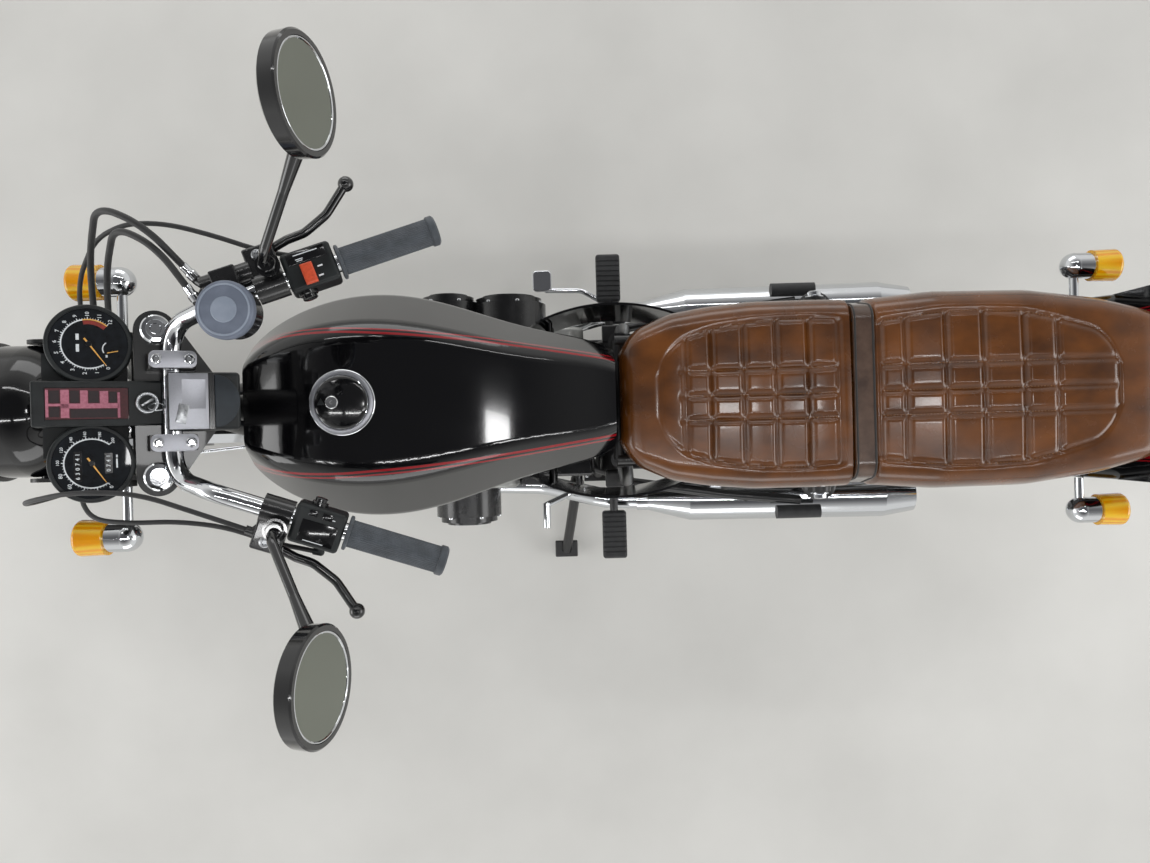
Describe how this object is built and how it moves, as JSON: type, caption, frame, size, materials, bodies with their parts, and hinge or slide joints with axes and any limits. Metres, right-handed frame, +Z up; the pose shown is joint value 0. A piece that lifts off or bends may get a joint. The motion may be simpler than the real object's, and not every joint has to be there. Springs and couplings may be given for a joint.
{
  "type": "standard roadster motorcycle",
  "caption": "Roadster motorcycle standing on its centre stand, with cast wheels, an air-cooled engine, a dual seat with a strap, round mirrors, dials and swept-back handlebars",
  "frame": {"origin": "on the ground, under the middle of the object's box", "axes": "+X forward, +Y to the rider's left, +Z up"},
  "size_m": [2.12, 0.721, 1.2904],
  "materials": {
    "black_paint": "gloss",
    "frame_paint": "satin",
    "bright_chrome": "polished",
    "bare_steel": "brushed",
    "cast_alloy": "cast",
    "polished_alloy": "polished",
    "wheel_alloy": "painted and machined",
    "caliper_iron": "painted",
    "tread_rubber": "moulded",
    "black_rubber": "matte",
    "black_plastic": "fine grain",
    "black_gloss": "gloss",
    "amber_lens": "clear moulding",
    "red_lens": "clear moulding",
    "brown_vinyl": "semi gloss",
    "strap_vinyl": "semi gloss",
    "clear_glass": "clear",
    "silvered_glass": "polished"
  },
  "bodies": {
    "chassis": {"frame": "frame_paint", "engine_cases": "cast_alloy", "engine_covers": "polished_alloy", "cylinders": "cast_alloy", "intake": "black_plastic", "exhausts": "bright_chrome", "fuel_tank": "black_paint", "fuel_cap": "bright_chrome", "seat_cushion": "brown_vinyl", "seat_strap": "strap_vinyl", "side_covers": "black_paint", "tail_cowl": "black_paint", "tail_lamp": "red_lens", "swingarm": "frame_paint", "rear_brake_plate": "cast_alloy", "rear_shocks": "bright_chrome", "chain": "bare_steel", "chain_guard": "bright_chrome", "foot_pegs": "black_rubber", "foot_controls": "bare_steel", "rear_mudguard": "bright_chrome", "rear_indicators": "bright_chrome", "rear_indicator_lenses": "amber_lens"},
    "steering": {"fork_tubes": "bright_chrome", "fork_sliders": "cast_alloy", "yokes": "cast_alloy", "handlebar": "bright_chrome", "grips": "black_rubber", "switch_blocks": "black_plastic", "lever_perches": "cast_alloy", "hand_levers": "black_gloss", "reservoir_cap": "black_plastic", "mirrors": "black_gloss", "mirror_glass": "silvered_glass", "cables": "black_rubber", "instruments": "black_plastic", "instrument_faces": "clear_glass", "bar_cover": "polished_alloy", "headlamp": "black_paint", "headlamp_lens": "clear_glass", "front_indicators": "bright_chrome", "front_indicator_lenses": "amber_lens", "front_mudguard": "bright_chrome", "brake_calipers": "caliper_iron"},
    "front_wheel": {"front_wheel": "wheel_alloy", "front_tyre": "tread_rubber", "brake_discs": "bare_steel"},
    "rear_wheel": {"rear_wheel": "wheel_alloy", "rear_tyre": "tread_rubber"},
    "centre_stand": {"centre_stand": "frame_paint"},
    "side_stand": {"side_stand": "frame_paint"}
  },
  "joints": [
    {"name": "steering", "type": "hinge", "parent": "chassis", "child": "steering", "pos_m": [0.702, 0, 0.28403], "axis": [-0.454, 0, 0.891], "range_deg": [-35, 35]},
    {"name": "front_wheel_spin", "type": "hinge", "parent": "steering", "child": "front_wheel", "pos_m": [0.751, 0, 0.309], "axis": [0, 1, 0], "continuous": true},
    {"name": "rear_wheel_spin", "type": "hinge", "parent": "chassis", "child": "rear_wheel", "pos_m": [-0.649, 0, 0.346], "axis": [0, 1, 0], "continuous": true},
    {"name": "centre_stand_fold", "type": "hinge", "parent": "chassis", "child": "centre_stand", "pos_m": [-0.215, 0, 0.235], "axis": [0, 1, 0], "range_deg": [0, 75]},
    {"name": "side_stand_fold", "type": "hinge", "parent": "chassis", "child": "side_stand", "pos_m": [-0.13, 0.165, 0.19], "axis": [0, 0.695, 0.719], "range_deg": [0, 95]}
  ]
}
